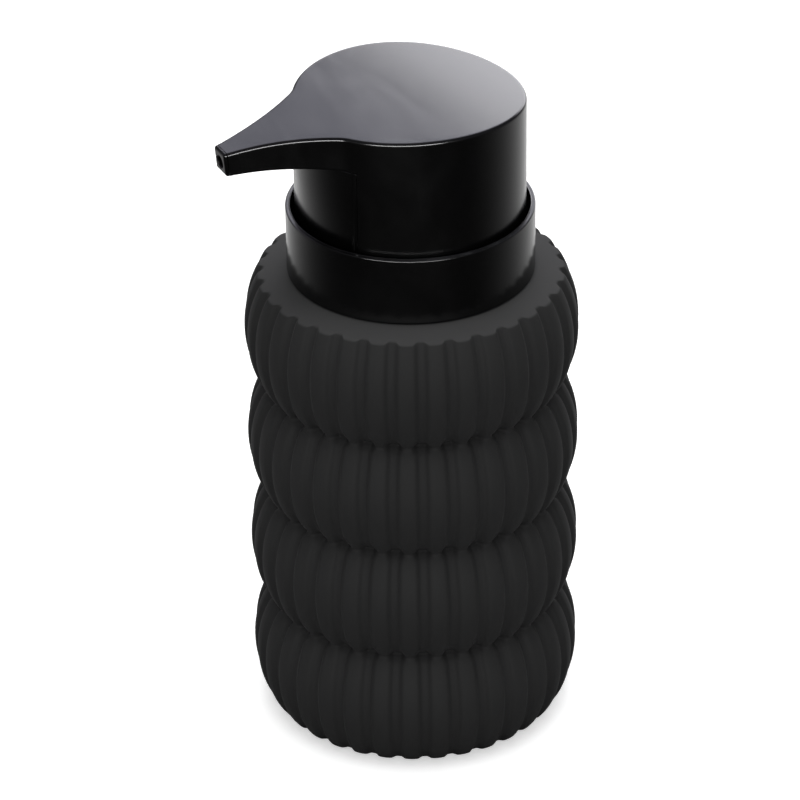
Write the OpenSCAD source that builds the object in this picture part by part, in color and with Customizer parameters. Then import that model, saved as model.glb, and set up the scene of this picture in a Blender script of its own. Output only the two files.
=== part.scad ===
// Soap pump dispenser: a fluted bottle of stacked barrel tiers, a wide collar,
// and a round push head that draws out into a slim spout.
// Millimetres, +Z up, origin at the centre of the foot pad, spout along -Y.

/* [Bottle] */
// Diameter over the flutes at the widest point of a tier
bottle_d = 80; // [74:1:90]
// Number of stacked tiers
tier_count = 4; // [3:1:5]
// Height of one tier
tier_h = 29.4; // [27:0.2:32]
// How far a waist lies inside the widest point, on the radius
waist_depth = 4.5; // [3.5:0.25:5.5]
// Share of an ellipse's half height that half a tier takes up
tier_fullness = 0.81; // [0.74:0.01:0.88]
// The same share for the fuller halves at the bottle's foot and shoulder
end_fullness = 0.786; // [0.74:0.002:0.81]
// Number of flutes
flute_count = 34; // [26:1:40]
// Depth of a flute
flute_depth = 1.2; // [0.6:0.1:1.6]
// Share of the flute pitch that the groove takes
groove_share = 0.42; // [0.3:0.02:0.6]
// Turn of the flutes about the axis, in degrees
flute_turn = 3.5; // [0:0.5:10]
// Least wall, between the cavity and a groove at a waist
bottle_wall = 3; // [2:0.25:3.5]
// How far the shoulder's edge lies inside the widest point, on the radius
shoulder_inset = 3.4; // [3:0.1:4]
// Rise of the shoulder from its edge to the collar seat
shoulder_h = 1.5; // [1:0.1:2.5]
// Extra height of the lowest tier below its waist line
foot_h = 1; // [0.4:0.1:1.5]

/* [Base] */
// Thickness of the glued base plate
base_t = 3.2; // [2.4:0.2:4.5]
// Width of the ledge that the base plate is glued against
base_ledge = 1.2; // [0.8:0.1:1.4]
// Diameter of the foot pad
pad_d = 56; // [44:1:58]
// Thickness of the foot pad
pad_t = 1.5; // [1.2:0.1:1.8]
// Depth of the recess that the foot pad is stuck in
pad_recess = 0.7; // [0.4:0.1:0.9]
// Height of the bottle's rim above the surface it stands on
rim_lift = 0.3; // [0.2:0.1:0.6]

/* [Neck] */
// Bore of the neck
neck_bore_d = 21.2; // [20:0.2:23]
// Wall of the neck
neck_wall = 2.1; // [1.6:0.1:2.4]
// Height of the neck above the collar seat
neck_h = 11; // [9.5:0.5:13]
// Height of the screw thread over the neck's wall
thread_h = 1.1; // [0.8:0.1:1.3]
// Pitch of the screw thread
thread_pitch = 3; // [2.5:0.25:3.5]
// Turns of the screw thread
thread_turns = 1.5; // [1:0.25:1.75]
// Diameter of the neck insert's flange
insert_flange_d = 42; // [39:0.5:46]
// Thickness of the neck insert's flange
insert_flange_t = 2; // [1.5:0.25:2.5]
// Diameter of the bottle's mouth
mouth_d = 34; // [32:0.5:36]
// Depth of the insert's spigot in the mouth
spigot_h = 6; // [4:0.5:7]
// Wall of the insert's spigot
spigot_wall = 1.6; // [1.2:0.1:2]
// Thickness of the seal under the insert's flange
seal_t = 1; // [0.6:0.1:1.4]

/* [Collar and closure] */
// Outer diameter of the collar
collar_d = 59; // [57:0.5:62]
// Wall of the collar at its rim
collar_wall = 1.1; // [0.9:0.1:1.5]
// Rounding of the collar's outer top edge
rim_round = 0.4; // [0.2:0.1:0.7]
// Thickness of the collar's web
web_t = 1.6; // [1.2:0.1:2]
// Gap between the bottle and the collar
collar_gap = 0.3; // [0.2:0.1:0.6]
// Wall of the collar's sleeve round the closure
sleeve_wall = 1.4; // [1:0.1:1.8]
// Wall of the closure
closure_wall = 2.1; // [1.6:0.1:2.6]
// Thickness of the closure's lip
lip_t = 1.4; // [1:0.1:1.8]
// Thickness of the neck gasket
gasket_t = 1; // [0.6:0.1:1.4]

/* [Pump] */
// Travel of the head
stroke = 12; // [9:0.5:14]
// Bore of the pump barrel
barrel_bore_d = 14.8; // [13.8:0.2:15.4]
// Wall of the pump barrel
barrel_wall = 1.2; // [0.9:0.1:1.4]
// Thickness of the pump housing's flange
housing_flange_t = 1.2; // [0.9:0.1:1.6]
// Diameter of the air hole in the barrel
vent_d = 1.2; // [0.8:0.1:1.6]
// Outer diameter of the stem
stem_d = 7.2; // [6.6:0.1:7.6]
// Wall of the stem
stem_wall = 1.3; // [1:0.1:1.5]
// Height of the piston
piston_h = 7; // [6:0.5:8]
// Depth that the chaplet reaches into the barrel
chaplet_h = 8.5; // [7:0.5:10]
// Height of the chaplet's cap
chaplet_cap_h = 2.4; // [2:0.2:3]
// Thickness of the valve rod's head
valve_head_t = 3; // [2.4:0.2:3.6]
// Length of the valve rod's spigot in the stem
rod_spigot_h = 8; // [5:0.5:10]
// Diameter of the spring's wire
spring_wire_d = 0.9; // [0.7:0.05:1]
// Mean diameter of the spring's coils
spring_mean_d = 9.8; // [9.4:0.1:10.2]
// Number of spring turns
spring_turns = 8.5; // [6.5:0.5:10.5]
// Room left between the turns of the pressed spring, in all
spring_reserve = 6; // [4:0.5:8]
// Thickness of the ball cage
cage_t = 2; // [1.6:0.2:2.6]
// Diameter of the inlet ball
ball_d = 4.8; // [4.4:0.1:5.2]
// Lift of the inlet ball
ball_lift = 1.6; // [1:0.1:2]
// Outer diameter of the dip tube
tube_d = 6.2; // [5.6:0.1:6.6]
// Wall of the dip tube
tube_wall = 0.9; // [0.7:0.1:1.1]
// Depth that the dip tube is pushed into its socket
tube_socket_h = 10; // [7:0.5:12]
// Height of the dip tube's end above the base plate
tube_end_gap = 3.3; // [2.5:0.1:5]

/* [Head] */
// Gap between the collar's wall and the head's skirt
head_gap = 1.05; // [0.7:0.05:1.4]
// Height of the crown above the collar's rim
crown_h = 29.1; // [28:0.1:33]
// Radius of the arched top, along the spout
arch_r = 231; // [200:1:260]
// Distance of the arch's highest line from the axis, towards the spout
arch_forward = 4.8; // [3:0.1:8]
// Distance from the axis to the spout's tip
spout_reach = 48.4; // [46:0.2:51]
// Width of the spout at its tip
spout_tip_w = 5.7; // [5.5:0.1:6.5]
// Radius of the spout's hollow flanks
flank_r = 57.3; // [55:0.1:61]
// How far beyond the tip the flanks would be narrowest
flank_forward = 10.5; // [9:0.25:12]
// Depth of the spout at its root, under the crown line
spout_root_h = 9.1; // [8.7:0.1:9.5]
// Radius of the spout's arched underside
under_r = 212; // [195:1:230]
// Distance of the underside's highest line from the axis
under_forward = 31; // [29:0.5:33]
// Lean of the tip's end face from upright, in degrees
tip_lean = 5; // [0:0.5:8]
// Wall of the head cover's skirt
cover_wall = 1.8; // [1.4:0.1:2]
// Thickness of the head cover's top
cover_top_t = 2; // [1.6:0.1:2.4]
// Wall of the spout at its sides and top
spout_wall = 0.9; // [0.8:0.1:1]
// Half angle of the front panel in the skirt, in degrees
panel_half = 37.5; // [30:0.5:38]
// How far the skirt reaches into the collar at rest
skirt_lap = 2.2; // [1.2:0.1:3]
// Thickness of the head insert's plate
plate_t = 1; // [0.8:0.1:1.1]
// Outer diameter of the socket for the stem
socket_d = 12; // [10.5:0.5:14]
// Outer diameter of the spout tube
spout_tube_d = 3; // [2.8:0.1:3.1]
// Wall of the spout tube
spout_tube_wall = 0.4; // [0.3:0.05:0.5]
// Diameter of the outlet
outlet_d = 2.8; // [2.2:0.1:3]
// Height of the outlet's centre above the end of the spout tube
outlet_rise = 0.35; // [0:0.05:0.4]
// Thickness of the nozzle's face
nozzle_t = 0.9; // [0.6:0.1:1.2]

/* [Fits] */
// Radial clearance of a sliding or turning fit
run_gap = 0.05; // [0.03:0.01:0.08]
// Radial clearance of pieces that are pushed or glued together
push_gap = 0.05; // [0.02:0.01:0.08]
// Clearance of pieces that pass each other freely
free_gap = 0.4; // [0.3:0.05:0.5]

/* [Hidden] */

facets = 96;
arc_facets = 256;
overrun = 1;
far = 400;
thin_wall = 1.2;
bevel = 0.6;

// Bottle outline
bottle_r = bottle_d / 2;
tier_half = tier_h / 2;
swell_h = tier_half / tier_fullness;
end_swell_h = tier_half / end_fullness;
swell_r = waist_depth / (1 - sqrt(1 - pow(tier_fullness, 2)));
rim_z = rim_lift;
first_mid_z = rim_z + foot_h + tier_half;
last_mid_z = first_mid_z + (tier_count - 1) * tier_h;
shoulder_r = bottle_r - shoulder_inset;
shoulder_z = last_mid_z + end_swell_h * sqrt(1 - pow(1 - shoulder_inset / swell_r, 2));
seat_ledge = 0.1;
seat_r = collar_d / 2 + seat_ledge;
seat_z = shoulder_z + shoulder_h;
flute_fade = 1.3;
flute_fade_z = shoulder_z + shoulder_h * 0.3;
flute_end_share = 0.7;

// Cavity and base
cavity_r = bottle_r - waist_depth - flute_depth - bottle_wall;
plate_hole_r = cavity_r + base_ledge;
base_z0 = pad_t - pad_recess;
base_z1 = base_z0 + base_t;
pad_gap = 0.3;
pad_hole_r = pad_d / 2 + pad_gap;

// Neck
neck_bore_r = neck_bore_d / 2;
neck_r = neck_bore_r + neck_wall;
thread_r = neck_r + thread_h;
thread_lead = 0.6;
neck_top_z = seat_z + neck_h;
flange_low_z = seat_z - insert_flange_t;
seal_low_z = flange_low_z - seal_t;
mouth_r = mouth_d / 2;
insert_flange_r = insert_flange_d / 2;
mouth_wall = 2.5;
ceiling_z = seal_low_z - mouth_wall;
ceiling_drop = (cavity_r - mouth_r) / 2;
seal_inset = 0.3;

// Pump stack, from the neck's rim up
flange_z0 = neck_top_z + gasket_t;
flange_z1 = flange_z0 + housing_flange_t;
lip_z1 = flange_z1 + lip_t;
chaplet_top_z = flange_z1 + chaplet_cap_h;
thread_gap = 0.3;
closure_bore_r = thread_r + thread_gap;
closure_r = closure_bore_r + closure_wall;
housing_flange_r = closure_bore_r - free_gap;
flange_land = 4;
chaplet_cap_r = housing_flange_r - flange_land;
barrel_bore_r = barrel_bore_d / 2;
barrel_r = barrel_bore_r + barrel_wall;

// Pump stack, from the flange down
stem_r = stem_d / 2;
stem_bore_r = stem_r - stem_wall;
chaplet_low_z = flange_z1 - chaplet_h;
piston_z1 = chaplet_low_z - free_gap;
piston_z0 = piston_z1 - piston_h;
valve_z0 = piston_z0 - valve_head_t;
valve_shoulder_h = 2;
valve_flow_gap = 2;
valve_head_r = barrel_bore_r - valve_flow_gap;
valve_nose_h = 2;
port_w = 1.2;
port_floor_r = 1.1;
port_low_z = piston_z0 + 0.3;
spring_len = spring_turns * spring_wire_d + stroke + spring_reserve;
spring_z0 = valve_z0 - spring_len;
spring_mean_r = spring_mean_d / 2;
spring_wire_r = spring_wire_d / 2;
spring_inner_r = spring_mean_r - spring_wire_r;
cage_z0 = spring_z0 - cage_t;
ball_r = ball_d / 2;
ball_side_gap = 1;
ball_top_gap = 0.1;
ball_room_r = ball_r + ball_side_gap;
ball_z = cage_z0 - ball_r - ball_top_gap - ball_lift;
ball_seat_gap = 0.05;
inlet_r = 1.5;
inlet_throat_h = 0.8;
seat_cone_z = ball_z - ball_seat_gap * sqrt(2) - ball_r * sqrt(2);
tube_r = tube_d / 2;
tube_z1 = seat_cone_z + inlet_r - inlet_throat_h;
tube_socket_z = tube_z1 - tube_socket_h;
tube_z0 = base_z1 + tube_end_gap;

// Collar
collar_r = collar_d / 2;
collar_z0 = seat_z + collar_gap;
web_z1 = collar_z0 + web_t;
press_gap = 0.8;
rim_top_z = web_z1 + press_gap + stroke + skirt_lap;
collar_bore_r = collar_r - collar_wall;
web_bore_r = closure_bore_r + 0.5;
sleeve_z1 = lip_z1 - 1.5;

// Head
head_r = collar_bore_r - head_gap;
skirt_z = rim_top_z - skirt_lap;
crown_z = rim_top_z + crown_h;
arch_axis_z = crown_z - arch_r;
under_z = crown_z - spout_root_h;
under_axis_z = under_z - under_r;
tip_half_w = spout_tip_w / 2;
flank_y = spout_reach + flank_forward;
flank_x = tip_half_w + sqrt(pow(flank_r, 2) - pow(flank_forward, 2));
skirt_bore_r = head_r - cover_wall;
plate_z1 = under_z + plate_t;
socket_r = socket_d / 2;
pressed_gap = 2;
socket_z0 = chaplet_top_z + stroke + pressed_gap;
socket_top_gap = 0.5;
socket_z1 = crown_z - cover_top_t - socket_top_gap;
stem_end_gap = 0.4;
stem_top_z = plate_z1 - stem_end_gap;
spout_tube_r = spout_tube_d / 2;
tube_arc_r = 230;
tube_arc_y = 22;
tube_arc_lift = 0.6;
tube_arc_z = plate_z1 + spout_tube_r + tube_arc_lift;
tube_start_y = socket_r - 2;
tube_seat = 1;
spout_low_z = under_z - 8;
tip_turn_z = crown_z - 6;
floor_lap = 2;
nozzle_y = spout_reach - nozzle_t;
plug_len = 3;
seam = 0.1;
panel_seam = 0.4;
panel_inset = 0.15;

// Angle at the axis of the two circles' crossing nearest the spout: head and flank
flank_dist = norm([flank_x, flank_y]);
cross_in = (pow(head_r, 2) - pow(flank_r, 2) + pow(flank_dist, 2)) / (2 * flank_dist);
cross_side = sqrt(max(0.01, pow(head_r, 2) - pow(cross_in, 2)));
root_half_w = (cross_in * flank_x - cross_side * flank_y) / flank_dist;

// ---------- Shared shapes ----------

// A solid of revolution from a profile of [radius, height] points
module turned(profile) {
    rotate_extrude($fn = facets) polygon(profile);
}

// A tube from z0 to z1
module tube(r_out, r_in, z0, z1) {
    turned([[r_in, z0], [r_out, z0], [r_out, z1], [r_in, z1]]);
}

// A round bar across the object, parallel to X
module cross_bar(r, y, z) {
    translate([-far / 2, y, z])
        rotate([0, 90, 0])
            cylinder(h = far, r = r, $fn = arc_facets);
}

// ---------- Bottle ----------

// Radius over the flute crests at a height above or below a tier's middle
function swell(dz, half_h = swell_h) =
    bottle_r - swell_r + swell_r * sqrt(max(0, 1 - pow(dz / half_h, 2)));

// Rows of the fluted skin, each [height, crest radius, flute depth]; the first and last lie beyond the
// planes that bottle_body cuts it off at
tier_steps = [-1, -0.7, -0.36, 0, 0.36, 0.7];
skin_rows = concat(
    [[rim_z - overrun, swell(tier_half + foot_h + overrun, end_swell_h), flute_depth],
     [rim_z, swell(tier_half + foot_h, end_swell_h), flute_depth]],
    [for (k = [0 : tier_count - 1], s = tier_steps)
        if (k > 0 || s > -1)
            let (at_end = k == 0 && s < 0 || k == tier_count - 1 && s > 0)
                [first_mid_z + k * tier_h + s * tier_half,
                 swell(s * tier_half, at_end ? end_swell_h : swell_h), flute_depth]],
    [[shoulder_z, shoulder_r, flute_depth * flute_end_share],
     [flute_fade_z, shoulder_r - flute_fade, 0],
     [seat_z, seat_r, 0],
     [seat_z + overrun, seat_r, 0]]);

// One flute's points as [share of the pitch, share of the flute's depth]
flute_points = [[-0.5 + groove_share / 2, 0], [0.5 - groove_share / 2, 0], [0.5, 1]];

function skin_ring(row) = [for (i = [0 : flute_count - 1], p = flute_points)
    let (a = flute_turn + (i + p[0]) * 360 / flute_count, r = row[1] - p[1] * row[2])
        [r * cos(a), r * sin(a), row[0]]];

module fluted_skin() {
    n = flute_count * len(flute_points);
    rows = len(skin_rows);
    points = [for (row = skin_rows) each skin_ring(row)];
    sides = [for (j = [0 : rows - 2], i = [0 : n - 1], half = [0, 1])
        let (k = (i + 1) % n, low = j * n, high = low + n)
            half == 0 ? [low + i, high + i, high + k] : [low + i, high + k, low + k]];
    bottom = [[for (i = [0 : n - 1]) i]];
    top = [[for (i = [0 : n - 1]) rows * n - 1 - i]];
    polyhedron(points = points, faces = concat(sides, bottom, top), convexity = 6);
}

module bottle_body() {
    color("#2b2b2d")
    difference() {
        fluted_skin();
        turned([
            [0, rim_z - 2 * overrun], [bottle_r, rim_z - 2 * overrun], [bottle_r, rim_z],
            [plate_hole_r, rim_z], [plate_hole_r, base_z1],
            [cavity_r, base_z1], [cavity_r, ceiling_z - ceiling_drop], [mouth_r, ceiling_z],
            [mouth_r, seal_low_z], [insert_flange_r + push_gap, seal_low_z],
            [insert_flange_r + push_gap, seat_z], [bottle_r, seat_z],
            [bottle_r, seat_z + 2 * overrun], [0, seat_z + 2 * overrun]]);
    }
}

module base_plate() {
    color("#262628")
    turned([
        [0, pad_t], [pad_hole_r, pad_t], [pad_hole_r, base_z0],
        [plate_hole_r - push_gap, base_z0], [plate_hole_r - push_gap, base_z1], [0, base_z1]]);
}

module foot_pad() {
    color("#3a3a3a")
    cylinder(h = pad_t, d = pad_d, $fn = facets);
}

// ---------- Neck ----------

// A tapered-end screw ridge that winds up from z0
module screw_ridge(r, z0) {
    steps = 20;
    count = floor(steps * thread_turns);
    half_low = thread_pitch * 0.3;
    half_high = thread_pitch * 0.12;
    root = r - 0.3;
    run_in = 3;
    start_share = 0.15;
    sections = [for (i = [0 : count])
        let (crest = r + thread_h * min(1, start_share + min(i, count - i) / run_in))
            [[root, -half_low], [crest, -half_high], [crest, half_high], [root, half_low]]];
    points = [for (i = [0 : count], p = sections[i])
        let (a = i * 360 / steps, z = z0 + i * thread_pitch / steps)
            [p[0] * cos(a), p[0] * sin(a), z + p[1]]];
    sides = [for (i = [0 : count - 1], j = [0 : 3], half = [0, 1])
        let (k = (j + 1) % 4, low = i * 4, high = low + 4)
            half == 0 ? [low + j, high + k, high + j] : [low + j, low + k, high + k]];
    ends = [[3, 2, 1, 0], [for (j = [0 : 3]) count * 4 + j]];
    polyhedron(points = points, faces = concat(sides, ends), convexity = 6);
}

module neck_insert() {
    color("#cfd0cc")
    union() {
        turned([
            [neck_bore_r, flange_low_z], [mouth_r - push_gap - spigot_wall, flange_low_z],
            [mouth_r - push_gap - spigot_wall, flange_low_z - spigot_h],
            [mouth_r - push_gap, flange_low_z - spigot_h], [mouth_r - push_gap, flange_low_z],
            [insert_flange_r, flange_low_z], [insert_flange_r, seat_z], [neck_r, seat_z],
            [neck_r, neck_top_z], [neck_bore_r, neck_top_z]]);
        screw_ridge(neck_r, neck_top_z - thread_pitch * (thread_turns + thread_lead));
    }
}

module insert_seal() {
    color("#b9bdbb")
    tube(insert_flange_r - seal_inset, mouth_r + seal_inset, seal_low_z, flange_low_z);
}

module neck_gasket() {
    color("#e4e4df")
    tube(neck_r, neck_bore_r, neck_top_z, flange_z0);
}

// ---------- Collar and closure ----------

module collar() {
    corner = [collar_r - rim_round, rim_top_z - rim_round];
    rim = [for (a = [0 : 15 : 90]) corner + rim_round * [cos(a), sin(a)]];
    sleeve_r = closure_r + push_gap;
    color("#141415")
    turned(concat(
        [[web_bore_r, collar_z0], [collar_r, collar_z0]],
        rim,
        [[collar_bore_r, rim_top_z], [collar_bore_r, web_z1], [sleeve_r + sleeve_wall, web_z1],
         [sleeve_r + sleeve_wall, sleeve_z1], [sleeve_r, sleeve_z1], [sleeve_r, web_z1],
         [web_bore_r, web_z1]]));
}

module closure() {
    color("#1d1d1f")
    turned([
        [closure_bore_r, web_z1], [closure_r, web_z1], [closure_r, lip_z1],
        [chaplet_cap_r + free_gap, lip_z1], [chaplet_cap_r + free_gap, flange_z1],
        [closure_bore_r, flange_z1]]);
}

// ---------- Pump ----------

module pump_housing() {
    neck_z = ball_z - 1;
    bore_low_z = seat_cone_z + inlet_r;
    socket_r_out = tube_r + push_gap + thin_wall;
    color("#e9e9e4")
    difference() {
        turned([
            [barrel_bore_r, flange_z1], [barrel_bore_r, cage_z0], [ball_room_r, cage_z0],
            [ball_room_r, seat_cone_z + ball_room_r], [inlet_r, bore_low_z], [inlet_r, tube_z1],
            [tube_r + push_gap, tube_z1], [tube_r + push_gap, tube_socket_z],
            [socket_r_out, tube_socket_z], [socket_r_out, neck_z], [barrel_r, cage_z0 - barrel_wall],
            [barrel_r, flange_z0], [housing_flange_r, flange_z0], [housing_flange_r, flange_z1]]);
        translate([0, 0, chaplet_low_z - vent_d])
            rotate([0, 90, 0])
                cylinder(h = barrel_r + overrun, d = vent_d, $fn = 24);
    }
}

module chaplet() {
    bore = stem_r + run_gap;
    skirt = barrel_bore_r - push_gap;
    color("#d9d9d4")
    turned([
        [bore, chaplet_low_z], [bore + thin_wall, chaplet_low_z], [bore + thin_wall, flange_z1 - overrun],
        [skirt - thin_wall, flange_z1 - overrun], [skirt - thin_wall, chaplet_low_z],
        [skirt, chaplet_low_z], [skirt, flange_z1], [chaplet_cap_r, flange_z1],
        [chaplet_cap_r, chaplet_top_z - bevel], [chaplet_cap_r - bevel, chaplet_top_z],
        [bore, chaplet_top_z]]);
}

module dip_tube() {
    color("#e6ecec")
    tube(tube_r, tube_r - tube_wall, tube_z0, tube_z1);
}

module ball_cage() {
    ring_in = spring_mean_r - bevel;
    bar = 2 * ring_in + thin_wall;
    color("#dededa")
    union() {
        tube(barrel_bore_r - push_gap, ring_in, cage_z0, spring_z0);
        for (a = [0, 60, 120])
            rotate([0, 0, a])
                translate([-bar / 2, -thin_wall / 2, cage_z0])
                    cube([bar, thin_wall, cage_t]);
    }
}

module inlet_ball() {
    color("#b8bcc0")
    translate([0, 0, ball_z])
        sphere(r = ball_r, $fn = 48);
}

// The height of the spring's wire at a share of its length: the end turns lie close together
function spring_rise(u) = let (flat = 0.75 / spring_turns, low = u * spring_turns * spring_wire_d)
    u < flat ? low
    : u > 1 - flat ? spring_len - spring_wire_d - (1 - u) * spring_turns * spring_wire_d
    : let (edge = 0.75 * spring_wire_d, v = (u - flat) / (1 - 2 * flat))
        edge + v * (spring_len - spring_wire_d - 2 * edge);

module return_spring() {
    steps = 18;
    sides = 8;
    count = floor(steps * spring_turns);
    wire = spring_wire_r / cos(180 / sides);
    points = [for (i = [0 : count], j = [0 : sides - 1])
        let (a = i * 360 / steps, b = (j + 0.5) * 360 / sides, r = spring_mean_r + wire * cos(b))
            [r * cos(a), r * sin(a),
             spring_z0 + spring_wire_r + spring_rise(i / count) + wire * sin(b)]];
    walls = [for (i = [0 : count - 1], j = [0 : sides - 1], half = [0, 1])
        let (k = (j + 1) % sides, low = i * sides, high = low + sides)
            half == 0 ? [low + j, high + k, high + j] : [low + j, low + k, high + k]];
    ends = [[for (j = [0 : sides - 1]) sides - 1 - j], [for (j = [0 : sides - 1]) count * sides + j]];
    color("#c3c6c9")
    polyhedron(points = points, faces = concat(walls, ends), convexity = 12);
}

module piston() {
    bore = stem_r + run_gap;
    lip = barrel_bore_r - run_gap;
    lip_h = piston_h * 0.25;
    color("#f1f1ee")
    turned([
        [bore, piston_z0 + bevel], [bore + bevel, piston_z0], [lip, piston_z0],
        [lip, piston_z0 + lip_h], [lip - bevel, piston_z0 + lip_h + bevel],
        [lip - bevel, piston_z1 - lip_h - bevel], [lip, piston_z1 - lip_h], [lip, piston_z1],
        [bore, piston_z1]]);
}

module valve_rod() {
    spigot = stem_bore_r - push_gap;
    nose = spring_inner_r - free_gap;
    shoulder = stem_r - 0.2;
    shoulder_z = piston_z0 + valve_shoulder_h;
    spigot_z = shoulder_z + rod_spigot_h;
    color("#d4d6d2")
    difference() {
        turned([
            [0, valve_z0 - valve_nose_h], [nose, valve_z0 - valve_nose_h], [nose, valve_z0],
            [valve_head_r, valve_z0], [valve_head_r, piston_z0], [shoulder, piston_z0],
            [shoulder, shoulder_z], [spigot, shoulder_z], [spigot, spigot_z], [0, spigot_z]]);
        for (a = [0, 120, 240])
            rotate([0, 0, a])
                translate([port_floor_r, -port_w / 2, port_low_z])
                    cube([stem_r, port_w, spigot_z - piston_z0]);
    }
}

module stem() {
    color("#26282a")
    tube(stem_r, stem_bore_r, piston_z0 + valve_shoulder_h, stem_top_z);
}

// ---------- Head ----------

// The space under the arched top, lowered by a wall
module under_arch(drop) {
    cross_bar(arch_r - drop, -arch_forward, arch_axis_z);
}

// The spout's plan from the axis to a distance out, with its flanks drawn in by a wall
module spout_plan(inset, reach, z0, z1) {
    half_w = root_half_w - inset;
    difference() {
        translate([-half_w, -reach, z0])
            cube([2 * half_w, reach, z1 - z0]);
        for (side = [-1, 1])
            translate([side * flank_x, -flank_y, z0 - overrun])
                cylinder(h = z1 - z0 + 2 * overrun, r = flank_r + inset, $fn = arc_facets);
    }
}

// The spout's outside from its arched underside to the top, cut at its leaning end face
module spout_block(inset, reach) {
    difference() {
        spout_plan(inset, reach + overrun, spout_low_z, crown_z + overrun);
        cross_bar(under_r, -under_forward, under_axis_z);
        translate([-far / 2, -reach, tip_turn_z])
            rotate([tip_lean, 0, 0])
                translate([0, -far, -far / 2])
                    cube([far, far, far]);
    }
}

// The front wedge of the skirt, either side of the spout
module front_wedge(half, z0, z1) {
    span = 2 * head_r;
    translate([0, 0, z0])
        linear_extrude(height = z1 - z0)
            polygon([[0, 0], [-span * sin(half), -span * cos(half)], [0, -1.3 * span],
                     [span * sin(half), -span * cos(half)]]);
}

// Everything behind a leaning plane at a distance along the spout
module behind_face(y) {
    translate([-far / 2, -y, tip_turn_z])
        rotate([tip_lean, 0, 0])
            translate([0, 0, -far / 2])
                cube([far, far, far]);
}

// A bent round bar or tube that follows the spout's channel
module tube_path(r_out, r_in, y0, y1) {
    a0 = asin((tube_arc_y - y1) / tube_arc_r);
    a1 = asin((tube_arc_y - y0) / tube_arc_r);
    translate([0, -tube_arc_y, tube_arc_z - tube_arc_r])
        rotate([0, -90, 0])
            rotate([0, 0, a0])
                rotate_extrude(angle = a1 - a0, $fn = arc_facets)
                    translate([tube_arc_r, 0])
                        difference() {
                            circle(r = r_out, $fn = 32);
                            if (r_in > 0) circle(r = r_in, $fn = 32);
                        }
}

module head_cover() {
    color("#161617")
    difference() {
        intersection() {
            union() {
                translate([0, 0, skirt_z])
                    cylinder(h = crown_z - skirt_z, r = head_r, $fn = facets);
                spout_block(0, nozzle_y);
            }
            under_arch(0);
        }
        intersection() {
            translate([0, 0, skirt_z - overrun])
                cylinder(h = crown_z - skirt_z, r = skirt_bore_r, $fn = facets);
            under_arch(cover_top_t);
        }
        intersection() {
            spout_plan(spout_wall, spout_reach + overrun, spout_low_z - overrun, crown_z);
            under_arch(spout_wall);
        }
        front_wedge(panel_half, skirt_z - overrun, under_z);
    }
}

module head_insert() {
    bore = stem_r + push_gap;
    panel_turn = panel_seam / head_r * 180 / PI;
    color("#171718")
    difference() {
        union() {
            tube(skirt_bore_r - seam, socket_r - overrun, under_z, plate_z1);
            translate([0, 0, socket_z0])
                cylinder(h = socket_z1 - socket_z0, r = socket_r, $fn = facets);
            intersection() {
                tube(head_r - panel_inset, skirt_bore_r - seam - overrun, skirt_z, under_z);
                front_wedge(panel_half - panel_turn, skirt_z - overrun, crown_z);
            }
            difference() {
                intersection() {
                    spout_plan(spout_wall + seam, spout_reach, spout_low_z, plate_z1);
                    behind_face(nozzle_y - plug_len - seam);
                }
                cross_bar(under_r, -under_forward, under_axis_z);
                difference() {
                    translate([-far / 2, -far, spout_low_z - overrun])
                        cube([far, far - skirt_bore_r + floor_lap, far]);
                    cross_bar(under_r + plate_t, -under_forward, under_axis_z);
                }
            }
        }
        translate([0, 0, socket_z0 - overrun])
            cylinder(h = stem_top_z - socket_z0 + overrun, r = bore, $fn = facets);
        cylinder(h = tube_arc_z + spout_tube_r, r = stem_bore_r, $fn = facets);
        tube_path(spout_tube_r + push_gap, 0, 0, nozzle_y);
    }
}

module spout_tube() {
    color("#dfe2e0")
    tube_path(spout_tube_r, spout_tube_r - spout_tube_wall, tube_start_y, nozzle_y - tube_seat);
}

module nozzle_tip() {
    tube_end_z = tube_arc_z - tube_arc_r + sqrt(pow(tube_arc_r, 2) - pow(nozzle_y - tube_arc_y, 2));
    color("#1b1b1c")
    difference() {
        union() {
            difference() {
                intersection() {
                    spout_block(0, spout_reach);
                    under_arch(0);
                }
                behind_face(nozzle_y + seam);
            }
            difference() {
                intersection() {
                    spout_block(spout_wall + seam, spout_reach - nozzle_t / 2);
                    under_arch(spout_wall + seam);
                }
                behind_face(nozzle_y - plug_len);
            }
        }
        tube_path(spout_tube_r + push_gap, 0, 0, nozzle_y - tube_seat);
        translate([0, tube_seat - nozzle_y, tube_end_z + outlet_rise])
            rotate([90, 0, 0])
                cylinder(h = far, d = outlet_d, $fn = facets);
    }
}

bottle_body();
base_plate();
foot_pad();
neck_insert();
insert_seal();
neck_gasket();
collar();
closure();
pump_housing();
chaplet();
dip_tube();
ball_cage();
inlet_ball();
return_spring();
piston();
valve_rod();
stem();
head_insert();
spout_tube();
nozzle_tip();
head_cover();
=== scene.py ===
import math

import bmesh
import bpy
from mathutils import Matrix, Vector


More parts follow.
